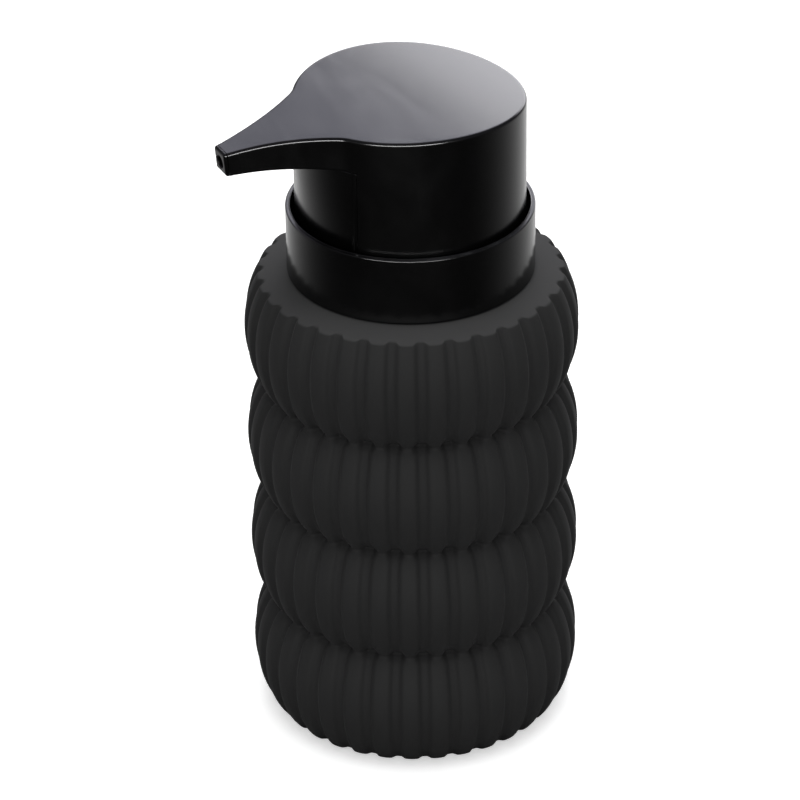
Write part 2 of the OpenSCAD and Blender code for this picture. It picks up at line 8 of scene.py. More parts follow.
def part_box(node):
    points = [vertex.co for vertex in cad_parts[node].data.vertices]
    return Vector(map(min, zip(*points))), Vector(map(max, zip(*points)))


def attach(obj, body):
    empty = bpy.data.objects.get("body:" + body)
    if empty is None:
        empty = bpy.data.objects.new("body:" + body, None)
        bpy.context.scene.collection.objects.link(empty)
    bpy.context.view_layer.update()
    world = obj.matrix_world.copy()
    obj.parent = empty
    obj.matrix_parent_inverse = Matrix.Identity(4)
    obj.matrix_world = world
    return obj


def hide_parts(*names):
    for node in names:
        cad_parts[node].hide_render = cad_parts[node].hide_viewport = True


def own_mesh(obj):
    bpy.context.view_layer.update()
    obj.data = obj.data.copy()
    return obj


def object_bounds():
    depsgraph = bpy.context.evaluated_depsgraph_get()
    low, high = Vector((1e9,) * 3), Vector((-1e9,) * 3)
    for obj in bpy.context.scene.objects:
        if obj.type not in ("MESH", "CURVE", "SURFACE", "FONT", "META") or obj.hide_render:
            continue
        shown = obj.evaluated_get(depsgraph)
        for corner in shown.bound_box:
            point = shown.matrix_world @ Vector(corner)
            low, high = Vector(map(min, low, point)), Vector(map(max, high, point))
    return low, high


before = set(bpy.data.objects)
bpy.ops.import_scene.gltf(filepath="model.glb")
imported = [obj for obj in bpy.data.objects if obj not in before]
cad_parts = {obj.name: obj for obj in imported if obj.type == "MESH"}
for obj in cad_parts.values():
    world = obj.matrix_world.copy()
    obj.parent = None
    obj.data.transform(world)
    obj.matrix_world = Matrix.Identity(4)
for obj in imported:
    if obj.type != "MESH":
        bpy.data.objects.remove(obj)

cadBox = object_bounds()
mm = 0.001
deg = math.pi / 180
fit = 0.05 * mm           # the gap between two pieces that sit in each other
print("frame loaded:", len(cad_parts), "nodes")


# ---- small helpers ----

def smoothStep(x):
    x = min(1.0, max(0.0, x))
    return x * x * (3 - 2 * x)


def softMax(a, b, blend):
    # the larger of two values, with the corner between them rounded
    overlap = max(0.0, blend - abs(a - b))
    return max(a, b) + overlap * overlap / (4 * blend)


def polar(radius, angle, z):
    return Vector((radius * math.cos(angle), radius * math.sin(angle), z))


def roundPath(points, steps=4):
    # points are (radius, z, rounding); each corner becomes a short curve between two tangent points,
    # with a support point a little before and after it
    path = []
    supportShare = 0.25
    count = len(points)
    for i in range(count):
        r, z, rounding = points[i]
        corner = Vector((r, z))
        if rounding <= 0:
            path.append((r, z))
            continue
        before = Vector(points[i - 1][:2]) - corner
        after = Vector(points[(i + 1) % count][:2]) - corner
        start = corner + before.normalized() * rounding
        end = corner + after.normalized() * rounding
        support = supportShare * rounding
        path.append(tuple(start + before.normalized() * support))
        for s in range(steps + 1):
            t = s / steps
            p = start * (1 - t) ** 2 + corner * 2 * t * (1 - t) + end * t * t
            path.append((p.x, p.y))
        path.append(tuple(end + after.normalized() * support))
    return path


def finishMesh(name, bm, sharpAngle=38):
    bmesh.ops.recalc_face_normals(bm, faces=bm.faces)
    mesh = bpy.data.meshes.new(name)
    bm.to_mesh(mesh)
    bm.free()
    mesh.shade_smooth()
    mesh.set_sharp_from_angle(angle=sharpAngle * deg)
    piece = bpy.data.objects.new(name, mesh)
    bpy.context.scene.collection.objects.link(piece)
    return piece


def ringGrid(bm, rings, closeRings=False, closeColumns=True):
    # quads between neighbouring rings of points; returns the rings of vertices
    made = [[bm.verts.new(p) for p in ring] for ring in rings]
    columns = len(rings[0])
    ringCount = len(rings) if closeRings else len(rings) - 1
    columnCount = columns if closeColumns else columns - 1
    for j in range(ringCount):
        low, high = made[j], made[(j + 1) % len(made)]
        for i in range(columnCount):
            k = (i + 1) % columns
            bm.faces.new((low[i], low[k], high[k], high[i]))
    return made


def addLathe(bm, path, columns=96):
    # a closed path of (radius, z) turned round the axis
    angles = [math.tau * i / columns for i in range(columns)]
    ringGrid(bm, [[polar(r, a, z) for a in angles] for r, z in path], closeRings=True)


def capEnds(bm, made):
    for end in (made[0], made[-1]):
        bm.faces.new(end)


def bridge(bm, ringA, ringB, first=0, last=None):
    # quads between two rows of vertices, or between a stretch of them
    last = len(ringA) - 1 if last is None else last
    for i in range(first, last):
        bm.faces.new((ringA[i], ringA[i + 1], ringB[i + 1], ringB[i]))


# ---- materials ----

def newGroup(name, inputs, outputs):
    group = bpy.data.node_groups.new(name, "ShaderNodeTree")
    for label, kind, default in inputs:
        socket = group.interface.new_socket(name=label, in_out="INPUT", socket_type=kind)
        socket.default_value = default
    for label, kind in outputs:
        group.interface.new_socket(name=label, in_out="OUTPUT", socket_type=kind)
    return group, group.nodes.new("NodeGroupInput"), group.nodes.new("NodeGroupOutput")


def addNode(tree, kind, **settings):
    # settings are the node's own choices, not its sockets
    node = tree.nodes.new(kind)
    for key, value in settings.items():
        setattr(node, key, value)
    return node


def mathNode(tree, operation, a, b=None, clamp=False):
    node = addNode(tree, "ShaderNodeMath", operation=operation, use_clamp=clamp)
    for index, value in enumerate((a, b)):
        if value is None:
            continue
        if isinstance(value, (int, float)):
            node.inputs[index].default_value = value
        else:
            tree.links.new(value, node.inputs[index])
    return node.outputs[0]


def rampNode(tree, value, low, high):
    # carries a value from none to one over to low to high
    ramp = addNode(tree, "ShaderNodeMapRange")
    ramp.inputs["To Min"].default_value = low
    ramp.inputs["To Max"].default_value = high
    tree.links.new(value, ramp.inputs["Value"])
    return ramp.outputs["Result"]


wearAndShade = {
    "fineDetail": 2.0,
    "patchScale": 55.0,
    "patchDetail": 4.0,
    "grainHeight": 0.5,       # as a share of the grain's size
    "wornShare": 0.25,        # how much of the worn tone shows where no patch or speck lies
    "smearTurn": (0.2, 0.1, 0.7),
    "smearStretch": (1.0, 3.2, 1.6),
    "smearDetail": 6.0,
    "smearRoughness": 0.62,
    "smearBend": 0.8,
    "speckScale": 260.0,
    "speckSize": 0.055,
    # samples for the painted crease shade
    "creaseShadeSamples": 8,
}


def buildMouldGrain():
    # the fine even tooth of a moulded or soft coated surface
    group, entry, out = newGroup(
        "mouldGrain",
        [("Grain Size", "NodeSocketFloat", 0.0003), ("Patchiness", "NodeSocketFloat", 0.3)],
        [("Height", "NodeSocketFloat"), ("Patch", "NodeSocketFloat")])
    place = addNode(group, "ShaderNodeTexCoord")
    scale = mathNode(group, "DIVIDE", 1.0, entry.outputs["Grain Size"])
    fine = addNode(group, "ShaderNodeTexNoise")
    fine.inputs["Detail"].default_value = wearAndShade["fineDetail"]
    group.links.new(place.outputs["Object"], fine.inputs["Vector"])
    group.links.new(scale, fine.inputs["Scale"])
    broad = addNode(group, "ShaderNodeTexNoise")
    broad.inputs["Scale"].default_value = wearAndShade["patchScale"]
    broad.inputs["Detail"].default_value = wearAndShade["patchDetail"]
    group.links.new(place.outputs["Object"], broad.inputs["Vector"])
    patch = mathNode(group, "SUBTRACT", broad.outputs[0], 0.5)
    patch = mathNode(group, "MULTIPLY", patch, entry.outputs["Patchiness"])
    group.links.new(fine.outputs[0], out.inputs["Height"])
    group.links.new(patch, out.inputs["Patch"])
    return group


def buildHandlingMarks():
    # faint smears and rub marks that change how a glossy surface shines
    group, entry, out = newGroup(
        "handlingMarks",
        [("Mark Size", "NodeSocketFloat", 0.012), ("Amount", "NodeSocketFloat", 0.5)],
        [("Smear", "NodeSocketFloat"), ("Speck", "NodeSocketFloat")])
    place = addNode(group, "ShaderNodeTexCoord")
    stretch = addNode(group, "ShaderNodeMapping")
    stretch.inputs["Rotation"].default_value = wearAndShade["smearTurn"]
    stretch.inputs["Scale"].default_value = wearAndShade["smearStretch"]
    group.links.new(place.outputs["Object"], stretch.inputs["Vector"])
    scale = mathNode(group, "DIVIDE", 1.0, entry.outputs["Mark Size"])
    smear = addNode(group, "ShaderNodeTexNoise")
    smear.inputs["Detail"].default_value = wearAndShade["smearDetail"]
    smear.inputs["Roughness"].default_value = wearAndShade["smearRoughness"]
    smear.inputs["Distortion"].default_value = wearAndShade["smearBend"]
    group.links.new(stretch.outputs[0], smear.inputs["Vector"])
    group.links.new(scale, smear.inputs["Scale"])
    centred = mathNode(group, "SUBTRACT", smear.outputs[0], 0.5)
    centred = mathNode(group, "MULTIPLY", centred, entry.outputs["Amount"])
    speck = addNode(group, "ShaderNodeTexVoronoi", feature="F1")
    speck.inputs["Scale"].default_value = wearAndShade["speckScale"]
    group.links.new(place.outputs["Object"], speck.inputs["Vector"])
    near = mathNode(group, "LESS_THAN", speck.outputs["Distance"], wearAndShade["speckSize"])
    near = mathNode(group, "MULTIPLY", near, entry.outputs["Amount"])
    group.links.new(centred, out.inputs["Smear"])
    group.links.new(near, out.inputs["Speck"])
    return group


def buildFlatLie():
    # how flat a surface lies: none while its normal rises less than From, one from To on
    group, entry, out = newGroup(
        "flatLie",
        [("From", "NodeSocketFloat", 0.7), ("To", "NodeSocketFloat", 1.0)],
        [("Share", "NodeSocketFloat")])
    surface = addNode(group, "ShaderNodeNewGeometry")
    upward = addNode(group, "ShaderNodeSeparateXYZ")
    group.links.new(surface.outputs["Normal"], upward.inputs[0])
    flat = addNode(group, "ShaderNodeMapRange", interpolation_type="SMOOTHSTEP")
    group.links.new(entry.outputs["From"], flat.inputs["From Min"])
    group.links.new(entry.outputs["To"], flat.inputs["From Max"])
    group.links.new(upward.outputs["Z"], flat.inputs["Value"])
    group.links.new(flat.outputs["Result"], out.inputs["Share"])
    return group


mouldGrain = buildMouldGrain()
handlingMarks = buildHandlingMarks()
flatLie = buildFlatLie()


def placeGroup(tree, group, **values):
    node = addNode(tree, "ShaderNodeGroup", node_tree=group)
    for key, value in values.items():
        node.inputs[key].default_value = value
    return node


def newMaterial(name, color, roughness, **sockets):
    material = bpy.data.materials.new(name)
    material.use_nodes = True
    shader = material.node_tree.nodes["Principled BSDF"]
    shader.inputs["Base Color"].default_value = (*color, 1)
    shader.inputs["Roughness"].default_value = roughness
    for key, value in sockets.items():
        shader.inputs[key].default_value = value
    return material, material.node_tree, shader


def placeFlatLie(tree, look):
    low, high = look["flatRange"]
    return placeGroup(tree, flatLie, **{"From": low, "To": high}).outputs["Share"]


def paintCreaseShadeAndTopLight(tree, tone, look):
    # painted shade: the soft coat is darkened down in the creases and grooves, where the tiers shade each
    # other, and painted top light makes it paler where it lies flat
    occlusion = addNode(tree, "ShaderNodeAmbientOcclusion", samples=wearAndShade["creaseShadeSamples"])
    occlusion.inputs["Distance"].default_value = look["creaseShadeReach"]
    deep, shallow = look["creaseShadeRange"]
    creaseDarkening = addNode(tree, "ShaderNodeMapRange", interpolation_type="SMOOTHSTEP")
    creaseDarkening.inputs["From Min"].default_value = deep
    creaseDarkening.inputs["From Max"].default_value = shallow
    creaseDarkening.inputs["To Min"].default_value = look["creaseShadeTone"]
    tree.links.new(occlusion.outputs["AO"], creaseDarkening.inputs["Value"])
    # painted top light: the tone is made paler where the surface lies flat
    topLit = mathNode(tree, "MULTIPLY", placeFlatLie(tree, look), look["topLightTone"] - 1)
    topLit = mathNode(tree, "ADD", topLit, 1.0)
    level = mathNode(tree, "MULTIPLY", creaseDarkening.outputs["Result"], topLit)
    scaled = addNode(tree, "ShaderNodeVectorMath", operation="SCALE")
    tree.links.new(tone, scaled.inputs[0])
    tree.links.new(level, scaled.inputs["Scale"])
    return scaled.outputs["Vector"]


def smudgeTop(tree, tone, smear, look):
    # a thin film of soap and dust in smears, only where the surface lies flat
    clean, smeared = look["filmRange"]
    film = addNode(tree, "ShaderNodeMapRange", interpolation_type="SMOOTHSTEP")
    film.inputs["From Min"].default_value = clean
    film.inputs["From Max"].default_value = smeared
    tree.links.new(smear, film.inputs["Value"])
    share = mathNode(tree, "MULTIPLY", film.outputs["Result"], placeFlatLie(tree, look))
    filmed = addNode(tree, "ShaderNodeMix", data_type="RGBA")
    filmed.inputs["B"].default_value = (*look["filmTone"], 1)
    tree.links.new(share, filmed.inputs["Factor"])
    tree.links.new(tone, filmed.inputs["A"])
    return filmed.outputs["Result"]


def grainedMaterial(name, look):
    # one finish: a grain that dents the surface, patches that shift its tone, smears that shift its shine
    material, tree, shader = newMaterial(name, look["color"], look["roughness"], **look.get("sockets", {}))
    grain = placeGroup(tree, mouldGrain, **{"Grain Size": look["grain"], "Patchiness": look["patch"]})
    marks = placeGroup(tree, handlingMarks, **{"Mark Size": look["markSize"], "Amount": look["marks"]})
    worn = addNode(tree, "ShaderNodeMix", data_type="RGBA")
    worn.inputs["A"].default_value = (*look["color"], 1)
    worn.inputs["B"].default_value = (*look["worn"], 1)
    share = mathNode(tree, "ADD", grain.outputs["Patch"], marks.outputs["Speck"])
    share = mathNode(tree, "ADD", share, wearAndShade["wornShare"], clamp=True)
    tree.links.new(share, worn.inputs["Factor"])
    tone = worn.outputs["Result"]
    # painted shade in the creases and painted top light where the surface lies flat
    if "creaseShadeTone" in look:
        tone = paintCreaseShadeAndTopLight(tree, tone, look)
    if "filmTone" in look:
        tone = smudgeTop(tree, tone, marks.outputs["Smear"], look)
    tree.links.new(tone, shader.inputs["Base Color"])
    shine = mathNode(tree, "ADD", marks.outputs["Smear"], look["roughness"], clamp=True)
    tree.links.new(shine, shader.inputs["Roughness"])
    bump = addNode(tree, "ShaderNodeBump")
    bump.inputs["Strength"].default_value = look["dent"]
    bump.inputs["Distance"].default_value = look["grain"] * wearAndShade["grainHeight"]
    tree.links.new(grain.outputs["Height"], bump.inputs["Height"])
    tree.links.new(bump.outputs[0], shader.inputs["Normal"])
    return material


# each finish turns from its color to its worn tone in patches; grain, markSize and the reach of the painted
# crease shade are lengths in metres, dent is how strongly the grain dents, and marks how strongly smears
# change the shine; some finishes also get painted shade in their creases and a painted top light where they
# lie flat
finishes = {
    # the soft coat gets painted shade in its creases and painted top light on its flat ring
    "softCharcoal": {"color": (0.0265, 0.0265, 0.0268), "worn": (0.034, 0.034, 0.034), "roughness": 0.75,
                     "grain": 0.00022, "patch": 0.5, "dent": 0.25, "markSize": 0.03, "marks": 0.10,
                     "creaseShadeTone": 0.35, "creaseShadeReach": 0.006, "creaseShadeRange": (0.08, 0.62),
                     "flatRange": (0.66, 0.98), "topLightTone": 2.1,
                     "sockets": {"Specular IOR Level": 0.08, "Sheen Weight": 0.06, "Sheen Roughness": 0.4}},
    "satinBlack": {"color": (0.0012, 0.0012, 0.0013), "worn": (0.0022, 0.0022, 0.0024), "roughness": 0.2,
                   "grain": 0.00025, "patch": 0.4, "dent": 0.02, "markSize": 0.03, "marks": 0.16,
                   "filmTone": (0.034, 0.034, 0.037), "filmRange": (-0.03, 0.04),
                   "flatRange": (0.85, 0.98)},
    "mouldedBlack": {"color": (0.010, 0.010, 0.0105), "worn": (0.016, 0.016, 0.016), "roughness": 0.45,
                     "grain": 0.0004, "patch": 0.6, "dent": 0.3, "markSize": 0.02, "marks": 0.15},
    "stemGrey": {"color": (0.020, 0.021, 0.023), "worn": (0.030, 0.031, 0.033), "roughness": 0.38,
                 "grain": 0.0004, "patch": 0.5, "dent": 0.15, "markSize": 0.01, "marks": 0.12},
    "naturalPlastic": {"color": (0.74, 0.74, 0.70), "worn": (0.66, 0.66, 0.62), "roughness": 0.36,
                       "grain": 0.0005, "patch": 0.5, "dent": 0.15, "markSize": 0.01, "marks": 0.15,
                       "sockets": {"Subsurface Weight": 0.25, "Subsurface Scale": 0.002}},
    "neckPlastic": {"color": (0.56, 0.56, 0.53), "worn": (0.48, 0.48, 0.45), "roughness": 0.42,
                    "grain": 0.0005, "patch": 0.5, "dent": 0.2, "markSize": 0.01, "marks": 0.15},
    "sealRubber": {"color": (0.42, 0.43, 0.42), "worn": (0.33, 0.34, 0.33), "roughness": 0.7,
                   "grain": 0.0004, "patch": 0.7, "dent": 0.4, "markSize": 0.01, "marks": 0.2},
    "padRubber": {"color": (0.035, 0.035, 0.035), "worn": (0.055, 0.055, 0.054), "roughness": 0.82,
                  "grain": 0.0006, "patch": 0.9, "dent": 0.6, "markSize": 0.01, "marks": 0.2},
    "clearTube": {"color": (0.86, 0.89, 0.89), "worn": (0.80, 0.83, 0.83), "roughness": 0.22,
                  "grain": 0.0008, "patch": 0.4, "dent": 0.1, "markSize": 0.01, "marks": 0.12,
                  "sockets": {"Transmission Weight": 0.55, "IOR": 1.5}},
    "springSteel": {"color": (0.60, 0.61, 0.62), "worn": (0.45, 0.46, 0.47), "roughness": 0.24,
                    "grain": 0.0003, "patch": 0.6, "dent": 0.2, "markSize": 0.003, "marks": 0.2,
                    "sockets": {"Metallic": 1.0}},
}
looks = {name: grainedMaterial(name, look) for name, look in finishes.items()}

nodeFinish = {
    "base_plate": "mouldedBlack", "foot_pad": "padRubber", "neck_insert": "neckPlastic",
    "insert_seal": "sealRubber", "neck_gasket": "sealRubber", "closure": "mouldedBlack",
    "pump_housing": "naturalPlastic", "chaplet": "naturalPlastic", "dip_tube": "clearTube",
    "ball_cage": "naturalPlastic", "inlet_ball": "springSteel", "piston": "naturalPlastic",
    "valve_rod": "naturalPlastic", "stem": "stemGrey", "spout_tube": "mouldedBlack",
}


def dress(piece, finish):
    piece.data.materials.clear()
    piece.data.materials.append(looks[finish])


for nodeName, finish in nodeFinish.items():
    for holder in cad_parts[nodeName].material_slots:
        holder.material = looks[finish]
print("finishes:", len(looks))


# ---- bottle ----

bottleLow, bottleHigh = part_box("bottle_body")
bottle = {
    "tiers": 4,
    "tierHeight": 29.4 * mm,
    "footHeight": 1.0 * mm,
    "waistDepth": 4.5 * mm,
    "fullness": 0.81,
    "endFullness": 0.786,     # the foot and the shoulder are a little fuller than the waists
    "radius": 40 * mm,
    "shoulderInset": 3.4 * mm,
    "shoulderRise": 1.5 * mm,
    "shoulderRound": 0.7 * mm,
    "shoulderLead": 0.56 * mm,    # the rounding starts this far under the edge
    "edgeTries": 12,
    "seatRadius": 29.6 * mm,
    "flutes": 34,
    "fluteTurn": 3.5 * deg,
    "fluteDepth": 1.15 * mm,
    "wallStart": 0.21,        # where a groove's wall starts and ends, as shares of the pitch from the crest
    "wallEnd": 0.43,
    "pitStart": 0.11,         # the same at a crease, where the grooves widen into deeper pits
    "pitEnd": 0.36,
    "pitDepth": 0.7 * mm,
    "pitReach": (1.6 * mm, 3.4 * mm),    # below and above the crease
    "crestRound": 0.12 * mm,
    "creaseSoft": 1.1 * mm,   # how softly two tiers meet at a crest and in a groove
    "grooveSoft": 0.3 * mm,
    "columns": (0, 0.06, 0.12, 0.17, 0.215, 0.26, 0.305, 0.35, 0.395, 0.445),
    "rowStep": 1.4 * mm,      # the rows' spacing, the same at a crease, and over what height it changes
    "creaseStep": 0.32 * mm,
    "creaseSpread": 4 * mm,
    "rowsEnd": 3.2 * mm,      # the last even row, this far under the collar's seat
    "edgeRows": 3,
    "edgeSteps": 6,
    "ringSteps": 6,
    "crownFade": (0.9 * mm, 1.2 * mm),   # crests lose their crown here: depth under the seat, and height
    "rimRound": 0.35 * mm,
    "rimShape": ((1.4, 0), (1, 0), (0.35, 0.28)),   # distance in and height, as shares of the rounding
    "mouth": 17 * mm,
    "mouthWall": 2.5 * mm,
    "ceilingSlope": 7.1 * mm,
    "plateLedge": 1.2 * mm,
    "mouthRound": 0.2 * mm,
    "ledgeRound": 0.15 * mm,
}

tierHalf = bottle["tierHeight"] / 2
swellHeight = tierHalf / bottle["fullness"]
endSwellHeight = tierHalf / bottle["endFullness"]
swellRadius = bottle["waistDepth"] / (1 - math.sqrt(1 - bottle["fullness"] ** 2))
firstMiddle = bottleLow.z + bottle["footHeight"] + tierHalf
tierMiddles = [firstMiddle + k * bottle["tierHeight"] for k in range(bottle["tiers"])]
seatZ = bottleHigh.z


def tierRadius(height, reach):
    share = min(1.0, abs(height) / reach)
    return bottle["radius"] - swellRadius + swellRadius * math.sqrt(1 - share * share)


def skinRadius(z, soft):
    radius = tierRadius(z - tierMiddles[0], endSwellHeight if z < tierMiddles[0] else swellHeight)
    for middle in tierMiddles[1:]:
        top = middle == tierMiddles[-1] and z > middle
        radius = softMax(radius, tierRadius(z - middle, endSwellHeight if top else swellHeight), soft)
    return radius


shoulderRadius = bottle["radius"] - bottle["shoulderInset"]
ringSlope = bottle["shoulderRise"] / (shoulderRadius - bottle["seatRadius"])


def ringHeight(radius):
    return seatZ - ringSlope * (radius - bottle["seatRadius"])


def bottleRows():
    # heights of the skin's rows from the rim to the shoulder, closer together at the creases
    creases = [m + tierHalf for m in tierMiddles[:-1]]
    z = bottleLow.z + bottle["rimRound"]
    rows = [z]
    top = seatZ - bottle["rowsEnd"]
    while z < top:
        nearest = min(abs(z - c) for c in creases)
        spread = smoothStep(nearest / bottle["creaseSpread"])
        z += bottle["creaseStep"] + (bottle["rowStep"] - bottle["creaseStep"]) * spread
        rows.append(min(z, top))
    return rows


def pitShare(z):
    # how far a height lies in the pits at the nearest crease: one at the crease, none beyond their reach
    offset = min((z - m - tierHalf for m in tierMiddles[:-1]), key=abs)
    return 1 - smoothStep(abs(offset) / bottle["pitReach"][offset > 0])


def skinPath(depth, soft):
    # one meridian of the skin, as (radius, z) from the rim up to the collar seat
    rim = bottle["rimRound"]
    rimRadius = skinRadius(bottleLow.z, soft) - depth
    path = [(rimRadius - along * rim, bottleLow.z + up * rim) for along, up in bottle["rimShape"]]
    rows = bottleRows()
    path += [(skinRadius(z, soft) - depth, z) for z in rows]
    # where the skin would meet the sloped ring, found by steps that close in on it
    edgeZ = seatZ - bottle["shoulderRise"]
    for _ in range(bottle["edgeTries"]):
        edgeZ = ringHeight(skinRadius(edgeZ, soft) - depth)
    edge = Vector((skinRadius(edgeZ, soft) - depth, edgeZ))
    startZ = edgeZ - bottle["shoulderLead"]
    for s in range(1, bottle["edgeRows"] + 1):
        z = rows[-1] + (startZ - rows[-1]) * s / bottle["edgeRows"]
        path.append((skinRadius(z, soft) - depth, z))
    start = Vector(path[-1])
    endRadius = edge.x - bottle["shoulderRound"]
    end = Vector((endRadius, ringHeight(endRadius)))
    for s in range(1, bottle["edgeSteps"] + 1):
        t = s / bottle["edgeSteps"]
        p = start * (1 - t) ** 2 + edge * 2 * t * (1 - t) + end * t * t
        path.append((p.x, p.y))
    for s in range(1, bottle["ringSteps"] + 1):
        radius = endRadius + (bottle["seatRadius"] - endRadius) * s / bottle["ringSteps"]
        path.append((radius, ringHeight(radius)))
    return path


def skinRings():
    # the skin's rings from the rim to the seat, each a blend of the crest's and the groove's meridian
    crest = skinPath(0, bottle["creaseSoft"])
    groove = skinPath(bottle["fluteDepth"], bottle["grooveSoft"])
    half = list(bottle["columns"])
    shares = [-share for share in reversed(half[1:])] + half + [0.5]
    columns = []
    for i in range(bottle["flutes"]):
        for share in shares:
            columns.append((bottle["fluteTurn"] + (i + share) * math.tau / bottle["flutes"], abs(share)))
    fadeDepth, fadeHeight = bottle["crownFade"]
    rings = []
    for (crestR, crestZ), (grooveR, grooveZ) in zip(crest, groove):
        fade = smoothStep((seatZ - fadeDepth - crestZ) / fadeHeight)
        pit = pitShare(crestZ)
        wallStart = bottle["wallStart"] + (bottle["pitStart"] - bottle["wallStart"]) * pit
        wallEnd = bottle["wallEnd"] + (bottle["pitEnd"] - bottle["wallEnd"]) * pit
        sunk = grooveR - crestR - bottle["pitDepth"] * pit
        ring = []
        for angle, share in columns:
            sink = smoothStep((share - wallStart) / (wallEnd - wallStart))
            crown = bottle["crestRound"] * min(1.0, share / wallStart) ** 2 * (1 - sink)
            z = crestZ + (grooveZ - crestZ) * sink
            ring.append(polar(crestR + sunk * sink - crown * fade, angle, z))
        rings.append(ring)
    return rings, [angle for angle, _ in columns]


def innerPath():
    # the mouth, the cavity and the ledge of the base plate, as one meridian that closes the shell
    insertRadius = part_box("neck_insert")[1].x + fit
    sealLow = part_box("insert_seal")[0].z
    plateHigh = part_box("base_plate")[1]
    plateRadius = plateHigh.x + fit
    cavity = plateRadius - bottle["plateLedge"]
    ceiling = sealLow - bottle["mouthWall"]
    slopeLow = ceiling - bottle["ceilingSlope"]
    mouth, soft = bottle["mouth"], bottle["mouthRound"]
    return roundPath([
        (insertRadius, seatZ, soft), (insertRadius, sealLow, 0), (mouth, sealLow, soft), (mouth, ceiling, 0),
        (cavity, slopeLow, 0), (cavity, plateHigh.z, 0), (plateRadius, plateHigh.z, 0),
        (plateRadius, bottleLow.z, bottle["ledgeRound"])], steps=3)


def buildBottle():
    rings, angles = skinRings()
    rings += [[polar(radius, angle, z) for angle in angles] for radius, z in innerPath()]
    bm = bmesh.new()
    ringGrid(bm, rings, closeRings=True)
    piece = finishMesh("bottle", bm, 60)
    dress(piece, "softCharcoal")
    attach(piece, "bottle")
    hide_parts("bottle_body")
    return piece


bottlePiece = buildBottle()
print("bottle:", len(bottlePiece.data.polygons), "faces")


# ---- collar ----

collarLow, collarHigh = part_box("collar")
collar = {
    "wall": 1.1 * mm,
    "webThickness": 1.6 * mm,
    "sleeveWall": 1.4 * mm,
    "rimRound": 0.3 * mm,
    "beadWidth": 0.14 * mm,   # a fine bead along the rim's inner edge
    "beadFoot": 0.224 * mm,   # where it meets the rim's top, from the bore
    "beadHeight": 0.12 * mm,
    "beadRound": 0.05 * mm,
    "innerRound": 0.22 * mm,
    "footRound": 0.3 * mm,
    "sleeveDrop": 1.5 * mm,   # the sleeve's top under the closure's
    "webOverlap": 1.6 * mm,   # how far the web reaches in over the closure's wall
    "columns": 240,
}


def collarPath():
    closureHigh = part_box("closure")[1]
    outer = collarHigh.x
    bore = outer - collar["wall"]
    web = collarLow.z + collar["webThickness"]
    sleeve = closureHigh.x + fit
    sleeveOuter = sleeve + collar["sleeveWall"]
    sleeveTop = closureHigh.z - collar["sleeveDrop"]
    webBore = closureHigh.x - collar["webOverlap"]
    rimZ = collarHigh.z - collar["beadHeight"]
    beadRadius = bore + collar["beadWidth"]
    beadFoot = bore + collar["beadFoot"]
    soft, beadRound = collar["innerRound"], collar["beadRound"]
    return roundPath([
        (webBore, collarLow.z, soft), (outer, collarLow.z, collar["footRound"]),
        (outer, rimZ, collar["rimRound"]), (beadFoot, rimZ, beadRound),
        (beadRadius, collarHigh.z, beadRound), (bore, collarHigh.z, beadRound), (bore, web, soft),
        (sleeveOuter, web, soft), (sleeveOuter, sleeveTop, soft), (sleeve, sleeveTop, soft),
        (sleeve, web, 0), (webBore, web, soft)], steps=5)


def buildCollar():
    bm = bmesh.new()
    addLathe(bm, collarPath(), collar["columns"])
    piece = finishMesh("collar_ring", bm)
    dress(piece, "satinBlack")
    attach(piece, "closure")
    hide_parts("collar")


buildCollar()
print("collar done")


# ---- head ----

coverLow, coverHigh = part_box("head_cover")
head = {
    "archRadius": 231 * mm,    # the top's arch, highest this far towards the spout
    "archForward": 4.8 * mm,
    "rootDepth": 9.1 * mm,     # the spout's underside at its root, under the crown
    "underRadius": 212 * mm,
    "underForward": 31 * mm,
    "flankCentre": (59.18 * mm, 58.9 * mm),   # the hollow sides of the spout, seen from above
    "flankRadius": 57.3 * mm,
    "rootBlend": 9 * mm,
    "lean": 5 * deg,
    "turnDrop": 6 * mm,        # the tip's lean turns about a line this far under the crown
    "spoutReach": 48.4 * mm,
    "nozzleDepth": 0.9 * mm,
    "seam": 0.1 * mm,
    "topEdge": 0.7 * mm,
    "underEdge": 0.35 * mm,
    "skirtEdge": 0.3 * mm,
    "spoutWall": 0.9 * mm,
    "skirtWall": 1.8 * mm,
    "roof": 2 * mm,
    "slotHalf": 37.5 * deg,    # half the slot in the skirt that the front panel fills
    "endLand": 0.8 * mm,       # the last outline point before the tip's end
    "edgeLand": 0.3 * mm,      # support rows beside a rounded edge and inside the top
    "topLand": 0.4 * mm,
    "bevel": 0.1 * mm,
    "flankSteps": 26,
    "blendSteps": 6,
    "frontSteps": 4,
    "backSteps": 72,
    "topEdgeSteps": 7,
    "underEdgeSteps": 4,
    "skirtEdgeSteps": 3,
    "thickenLead": 14,         # outline points before the slot where the walls start to thicken
    "thickenSteps": 12,
}
crownZ = coverHigh.z
skirtZ = coverLow.z
headRadius = coverHigh.x
rootZ = crownZ - head["rootDepth"]
turnZ = crownZ - head["turnDrop"]
nozzleStart = head["spoutReach"] - head["nozzleDepth"]


def archZ(t):
    drop = t - head["archForward"]
    return crownZ - head["archRadius"] + math.sqrt(head["archRadius"] ** 2 - drop * drop)


def underZ(t):
    drop = t - head["underForward"]
    return rootZ - head["underRadius"] + math.sqrt(head["underRadius"] ** 2 - drop * drop)


def leanAt(z):
    return (z - turnZ) * math.tan(head["lean"])


flankCentre = Vector(head["flankCentre"])


